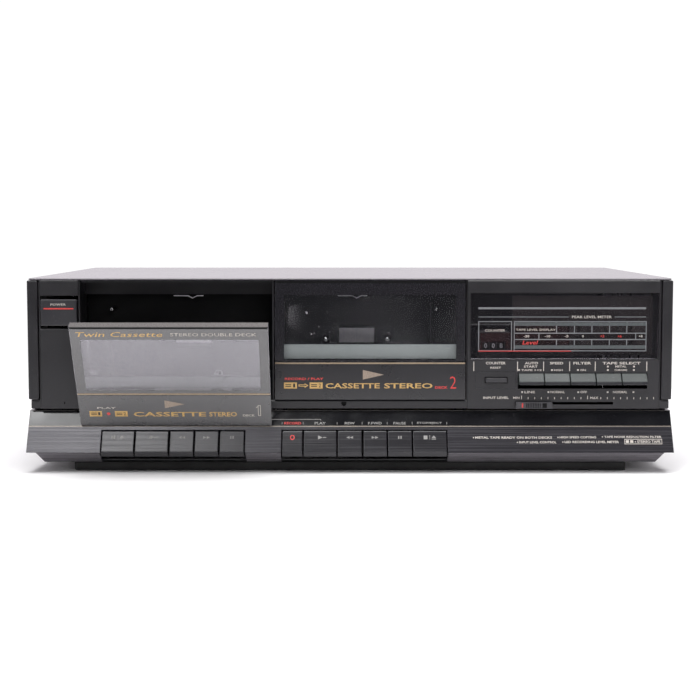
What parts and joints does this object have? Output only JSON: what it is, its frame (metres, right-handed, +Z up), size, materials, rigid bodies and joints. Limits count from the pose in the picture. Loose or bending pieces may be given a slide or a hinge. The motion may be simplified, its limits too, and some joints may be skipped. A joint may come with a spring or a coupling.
{
  "type": "double cassette deck",
  "caption": "Low, wide hi-fi recorder with side-by-side cassette doors, one open, piano keys along a sloping apron, and a smoked meter window with push buttons and a level slider.",
  "frame": {"origin": "centre of the footprint at floor level, with the first door open as stored", "axes": "+X to the right seen from the front, +Y towards the back, +Z up"},
  "size_m": [0.44, 0.3167, 0.1325],
  "materials": {
    "black_plastic": "fine satin",
    "dark_plastic": "matt",
    "control_plastic": "satin",
    "grey_green_plastic": "satin",
    "painted_steel": "fine textured paint",
    "dark_aluminium": "brushed, dark",
    "smoked_clear": "smoked clear plastic, glossy",
    "zinc_plated": "plated, dull",
    "bright_steel": "bright",
    "brass": "turned",
    "white_plastic": "satin",
    "rubber": "matt",
    "circuit_board": "board with parts"
  },
  "bodies": {
    "casing": {"top_cover": "painted_steel", "chassis_tray": "painted_steel", "rear_panel": "painted_steel", "front_fascia": "black_plastic", "apron_panel": "dark_aluminium", "left_cheek": "black_plastic", "right_cheek": "black_plastic", "meter_window": "smoked_clear", "meter_board": "circuit_board", "counter_housing": "dark_plastic", "front_skid": "rubber", "rear_skid": "rubber", "line_sockets": "dark_plastic", "mains_inlet": "dark_plastic", "deck_1_mech_plate": "dark_plastic", "deck_2_mech_plate": "dark_plastic", "main_board": "circuit_board", "transformer": "zinc_plated", "motor": "bright_steel", "drive_belt": "rubber", "key_rod": "bright_steel"},
    "door_1": {"door_1_window": "smoked_clear", "door_1_panel": "black_plastic", "cassette_holder_1": "dark_plastic"},
    "door_2": {"door_2_window": "smoked_clear", "door_2_panel": "black_plastic", "cassette_holder_2": "dark_plastic"},
    "deck_1_key_1": {"deck_1_key_1": "control_plastic"},
    "deck_1_key_2": {"deck_1_key_2": "control_plastic"},
    "deck_1_key_3": {"deck_1_key_3": "control_plastic"},
    "deck_1_key_4": {"deck_1_key_4": "control_plastic"},
    "deck_1_key_5": {"deck_1_key_5": "control_plastic"},
    "deck_2_key_1": {"deck_2_key_1": "control_plastic"},
    "deck_2_key_2": {"deck_2_key_2": "control_plastic"},
    "deck_2_key_3": {"deck_2_key_3": "control_plastic"},
    "deck_2_key_4": {"deck_2_key_4": "control_plastic"},
    "deck_2_key_5": {"deck_2_key_5": "control_plastic"},
    "deck_2_key_6": {"deck_2_key_6": "control_plastic"},
    "power_button": {"power_button": "control_plastic"},
    "mode_button_1": {"mode_button_1": "grey_green_plastic"},
    "mode_button_2": {"mode_button_2": "grey_green_plastic"},
    "mode_button_3": {"mode_button_3": "grey_green_plastic"},
    "mode_button_4": {"mode_button_4": "grey_green_plastic"},
    "mode_button_5": {"mode_button_5": "grey_green_plastic"},
    "counter_reset_button": {"counter_reset_button": "control_plastic"},
    "level_knob": {"level_knob": "control_plastic"},
    "counter_wheel_1": {"counter_wheel_1": "white_plastic"},
    "counter_wheel_2": {"counter_wheel_2": "white_plastic"},
    "counter_wheel_3": {"counter_wheel_3": "white_plastic"},
    "deck_1_spindle_left": {"deck_1_spindle_left": "dark_plastic"},
    "deck_1_spindle_right": {"deck_1_spindle_right": "dark_plastic"},
    "deck_1_head_carriage": {"deck_1_head_carriage": "zinc_plated"},
    "deck_1_pinch_roller": {"deck_1_pinch_roller": "rubber"},
    "deck_1_flywheel": {"deck_1_flywheel": "zinc_plated"},
    "deck_2_spindle_left": {"deck_2_spindle_left": "dark_plastic"},
    "deck_2_spindle_right": {"deck_2_spindle_right": "dark_plastic"},
    "deck_2_head_carriage": {"deck_2_head_carriage": "zinc_plated"},
    "deck_2_pinch_roller": {"deck_2_pinch_roller": "rubber"},
    "deck_2_flywheel": {"deck_2_flywheel": "zinc_plated"},
    "motor_pulley": {"motor_pulley": "brass"}
  },
  "joints": [
    {"name": "door_1_hinge", "type": "hinge", "parent": "casing", "child": "door_1", "pos_m": [-0.1186, -0.08365, 0.036], "axis": [1, 0, 0], "range_deg": [-30.3, 0]},
    {"name": "door_2_hinge", "type": "hinge", "parent": "casing", "child": "door_2", "pos_m": [0.01375, -0.08365, 0.036], "axis": [1, 0, 0], "range_deg": [0, 30.3]},
    {"name": "deck_1_key_1_press", "type": "hinge", "parent": "casing", "child": "deck_1_key_1", "pos_m": [-0.1582, -0.05265, 0.021], "axis": [1, 0, 0], "range_deg": [0, 4.1], "stiffness_Nm_per_rad": 0.3, "springref_deg": -8.59},
    {"name": "deck_1_key_2_press", "type": "hinge", "parent": "casing", "child": "deck_1_key_2", "pos_m": [-0.1351, -0.05265, 0.021], "axis": [1, 0, 0], "range_deg": [0, 4.1], "stiffness_Nm_per_rad": 0.3, "springref_deg": -8.59},
    {"name": "deck_1_key_3_press", "type": "hinge", "parent": "casing", "child": "deck_1_key_3", "pos_m": [-0.11465, -0.05265, 0.021], "axis": [1, 0, 0], "range_deg": [0, 4.1], "stiffness_Nm_per_rad": 0.3, "springref_deg": -8.59},
    {"name": "deck_1_key_4_press", "type": "hinge", "parent": "casing", "child": "deck_1_key_4", "pos_m": [-0.0977, -0.05265, 0.021], "axis": [1, 0, 0], "range_deg": [0, 4.1], "stiffness_Nm_per_rad": 0.3, "springref_deg": -8.59},
    {"name": "deck_1_key_5_press", "type": "hinge", "parent": "casing", "child": "deck_1_key_5", "pos_m": [-0.08045, -0.05265, 0.021], "axis": [1, 0, 0], "range_deg": [0, 4.1], "stiffness_Nm_per_rad": 0.3, "springref_deg": -8.59},
    {"name": "deck_2_key_1_press", "type": "hinge", "parent": "casing", "child": "deck_2_key_1", "pos_m": [-0.0393, -0.05265, 0.021], "axis": [1, 0, 0], "range_deg": [0, 4.1], "stiffness_Nm_per_rad": 0.3, "springref_deg": -8.59},
    {"name": "deck_2_key_2_press", "type": "hinge", "parent": "casing", "child": "deck_2_key_2", "pos_m": [-0.0204, -0.05265, 0.021], "axis": [1, 0, 0], "range_deg": [0, 4.1], "stiffness_Nm_per_rad": 0.3, "springref_deg": -8.59},
    {"name": "deck_2_key_3_press", "type": "hinge", "parent": "casing", "child": "deck_2_key_3", "pos_m": [-0.0002, -0.05265, 0.021], "axis": [1, 0, 0], "range_deg": [0, 4.1], "stiffness_Nm_per_rad": 0.3, "springref_deg": -8.59},
    {"name": "deck_2_key_4_press", "type": "hinge", "parent": "casing", "child": "deck_2_key_4", "pos_m": [0.0171, -0.05265, 0.021], "axis": [1, 0, 0], "range_deg": [0, 4.1], "stiffness_Nm_per_rad": 0.3, "springref_deg": -8.59},
    {"name": "deck_2_key_5_press", "type": "hinge", "parent": "casing", "child": "deck_2_key_5", "pos_m": [0.034, -0.05265, 0.021], "axis": [1, 0, 0], "range_deg": [0, 4.1], "stiffness_Nm_per_rad": 0.3, "springref_deg": -8.59},
    {"name": "deck_2_key_6_press", "type": "hinge", "parent": "casing", "child": "deck_2_key_6", "pos_m": [0.0544, -0.05265, 0.021], "axis": [1, 0, 0], "range_deg": [0, 4.1], "stiffness_Nm_per_rad": 0.3, "springref_deg": -8.59},
    {"name": "power_button_push", "type": "slide", "parent": "casing", "child": "power_button", "axis": [0, 1, 0], "range_m": [0, 0.004], "stiffness_N_per_m": 300, "springref_m": -0.003},
    {"name": "mode_button_1_push", "type": "slide", "parent": "casing", "child": "mode_button_1", "axis": [0, 1, 0], "range_m": [0, 0.003], "stiffness_N_per_m": 200, "springref_m": -0.002},
    {"name": "mode_button_2_push", "type": "slide", "parent": "casing", "child": "mode_button_2", "axis": [0, 1, 0], "range_m": [0, 0.003], "stiffness_N_per_m": 200, "springref_m": -0.002},
    {"name": "mode_button_3_push", "type": "slide", "parent": "casing", "child": "mode_button_3", "axis": [0, 1, 0], "range_m": [0, 0.003], "stiffness_N_per_m": 200, "springref_m": -0.002},
    {"name": "mode_button_4_push", "type": "slide", "parent": "casing", "child": "mode_button_4", "axis": [0, 1, 0], "range_m": [0, 0.003], "stiffness_N_per_m": 200, "springref_m": -0.002},
    {"name": "mode_button_5_push", "type": "slide", "parent": "casing", "child": "mode_button_5", "axis": [0, 1, 0], "range_m": [0, 0.003], "stiffness_N_per_m": 200, "springref_m": -0.002},
    {"name": "counter_reset_push", "type": "slide", "parent": "casing", "child": "counter_reset_button", "axis": [0, 1, 0], "range_m": [0, 0.0013], "stiffness_N_per_m": 200, "springref_m": -0.002},
    {"name": "level_slide", "type": "slide", "parent": "casing", "child": "level_knob", "axis": [1, 0, 0], "range_m": [0, 0.045]},
    {"name": "counter_wheel_1_turn", "type": "hinge", "parent": "casing", "child": "counter_wheel_1", "pos_m": [0.09305, -0.10135, 0.0863], "axis": [1, 0, 0], "continuous": true},
    {"name": "counter_wheel_2_turn", "type": "hinge", "parent": "casing", "child": "counter_wheel_2", "pos_m": [0.09835, -0.10135, 0.0863], "axis": [1, 0, 0], "continuous": true},
    {"name": "counter_wheel_3_turn", "type": "hinge", "parent": "casing", "child": "counter_wheel_3", "pos_m": [0.10365, -0.10135, 0.0863], "axis": [1, 0, 0], "continuous": true},
    {"name": "deck_1_spindle_left_turn", "type": "hinge", "parent": "casing", "child": "deck_1_spindle_left", "pos_m": [-0.13085, -0.09265, 0.09], "axis": [0, 1, 0], "continuous": true},
    {"name": "deck_1_spindle_right_turn", "type": "hinge", "parent": "casing", "child": "deck_1_spindle_right", "pos_m": [-0.08835, -0.09265, 0.09], "axis": [0, 1, 0], "continuous": true},
    {"name": "deck_1_head_lift", "type": "slide", "parent": "casing", "child": "deck_1_head_carriage", "axis": [0, 0, 1], "range_m": [0, 0.005], "stiffness_N_per_m": 100, "springref_m": -0.004},
    {"name": "deck_1_pinch_roller_turn", "type": "hinge", "parent": "deck_1_head_carriage", "child": "deck_1_pinch_roller", "pos_m": [-0.0926, -0.10015, 0.0502], "axis": [0, 1, 0], "continuous": true},
    {"name": "deck_1_flywheel_turn", "type": "hinge", "parent": "casing", "child": "deck_1_flywheel", "pos_m": [-0.0926, -0.07465, 0.064], "axis": [0, 1, 0], "continuous": true},
    {"name": "deck_2_spindle_left_turn", "type": "hinge", "parent": "casing", "child": "deck_2_spindle_left", "pos_m": [-0.01665, -0.09265, 0.09], "axis": [0, 1, 0], "continuous": true},
    {"name": "deck_2_spindle_right_turn", "type": "hinge", "parent": "casing", "child": "deck_2_spindle_right", "pos_m": [0.02585, -0.09265, 0.09], "axis": [0, 1, 0], "continuous": true},
    {"name": "deck_2_head_lift", "type": "slide", "parent": "casing", "child": "deck_2_head_carriage", "axis": [0, 0, 1], "range_m": [0, 0.005], "stiffness_N_per_m": 100, "springref_m": -0.004},
    {"name": "deck_2_pinch_roller_turn", "type": "hinge", "parent": "deck_2_head_carriage", "child": "deck_2_pinch_roller", "pos_m": [0.0216, -0.10015, 0.0502], "axis": [0, 1, 0], "continuous": true},
    {"name": "deck_2_flywheel_turn", "type": "hinge", "parent": "casing", "child": "deck_2_flywheel", "pos_m": [0.0216, -0.07465, 0.064], "axis": [0, 1, 0], "continuous": true},
    {"name": "motor_pulley_turn", "type": "hinge", "parent": "casing", "child": "motor_pulley", "pos_m": [-0.0355, -0.07465, 0.0938], "axis": [0, 1, 0], "continuous": true}
  ],
  "couplings": [
    {"joint": "counter_wheel_2_turn", "follows": "counter_wheel_3_turn", "ratio": 0.1},
    {"joint": "counter_wheel_1_turn", "follows": "counter_wheel_3_turn", "ratio": 0.01},
    {"joint": "deck_2_flywheel_turn", "follows": "deck_1_flywheel_turn", "ratio": 1},
    {"joint": "motor_pulley_turn", "follows": "deck_1_flywheel_turn", "ratio": -4.27}
  ]
}
